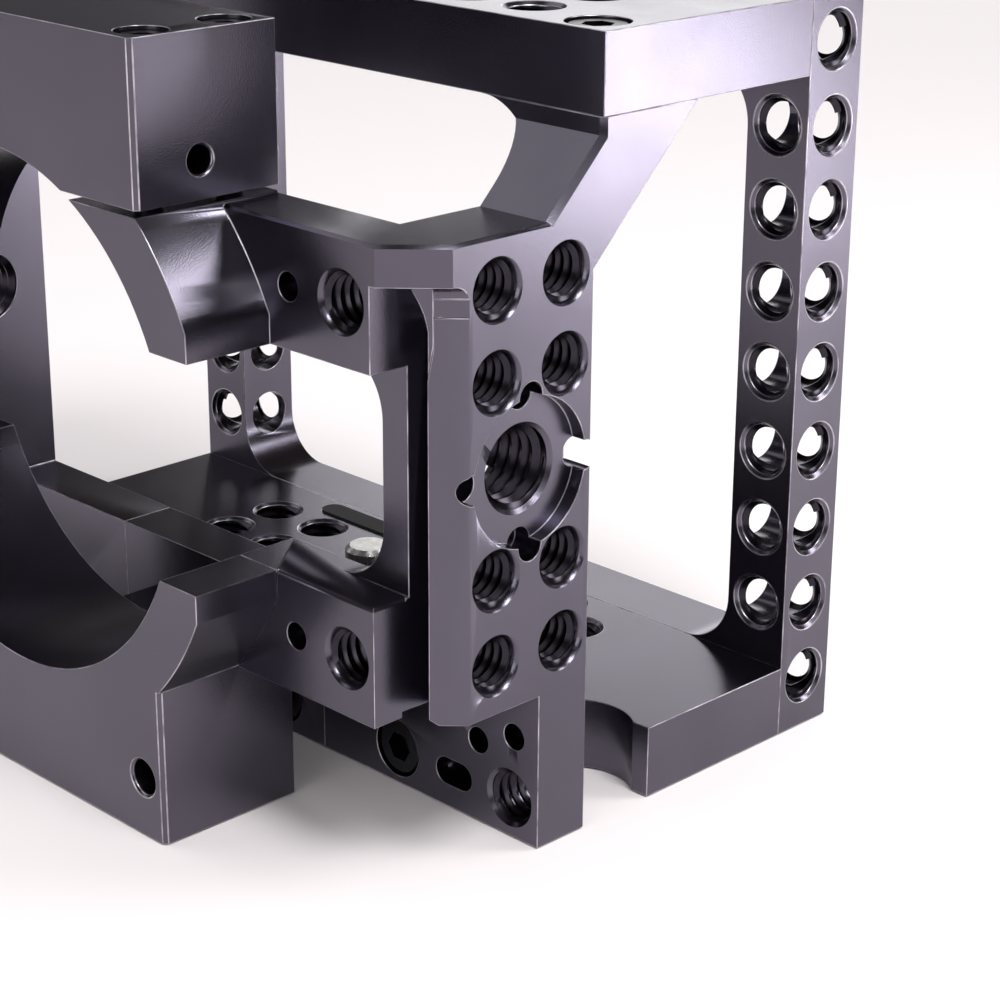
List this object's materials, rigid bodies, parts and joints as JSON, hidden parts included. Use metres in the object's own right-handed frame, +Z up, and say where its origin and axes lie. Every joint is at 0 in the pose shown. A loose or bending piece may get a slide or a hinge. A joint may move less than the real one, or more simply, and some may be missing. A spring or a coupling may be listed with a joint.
{
  "type": "camera cage",
  "caption": "Box camera cage with a split lens-adapter support on arms, side rails with threaded holes, open rear frame and a captive base screw.",
  "frame": {"origin": "centre of the footprint on the underside of the base", "axes": "+X to the right side frame, lens looks along -Y, +Z up"},
  "size_m": [0.114, 0.0826, 0.092],
  "materials": {
    "black_anodised": "satin black anodised, fine bead-blasted",
    "black_steel": "black oxide",
    "bright_steel": "ground",
    "brass": "turned",
    "rubber": "matt"
  },
  "bodies": {
    "cage": {"base_plate": "black_anodised", "rear_frame": "black_anodised", "side_frame_right": "black_anodised", "side_frame_left": "black_anodised", "front_crossplate": "black_anodised", "top_plate": "black_anodised", "lens_saddle": "black_anodised", "lens_bridge": "black_anodised", "bridge_screws": "black_steel", "saddle_arm_screws": "black_steel", "saddle_foot_screws": "black_steel", "base_front_screws": "black_steel", "base_rear_screws": "black_steel", "top_gusset_screws": "black_steel", "top_rear_screws": "black_steel", "base_dowels": "bright_steel", "top_dowels": "bright_steel", "crossplate_dowels": "bright_steel", "camera_pads": "rubber"},
    "slider": {"screw_slider": "brass"},
    "screw": {"camera_screw": "bright_steel", "screw_clip": "black_steel"},
    "ring": {"screw_ring": "bright_steel"}
  },
  "joints": [
    {"name": "screw_travel", "type": "slide", "parent": "cage", "child": "slider", "axis": [0, 1, 0], "range_m": [-0.005, 0.005]},
    {"name": "screw_turn", "type": "hinge", "parent": "slider", "child": "screw", "pos_m": [0, 0.0142, 0.0029], "axis": [0, 0, 1], "continuous": true},
    {"name": "ring_fold", "type": "hinge", "parent": "screw", "child": "ring", "pos_m": [0, 0.0142, 0.0029], "axis": [-1, 0, 0], "range_deg": [0, 90]}
  ]
}
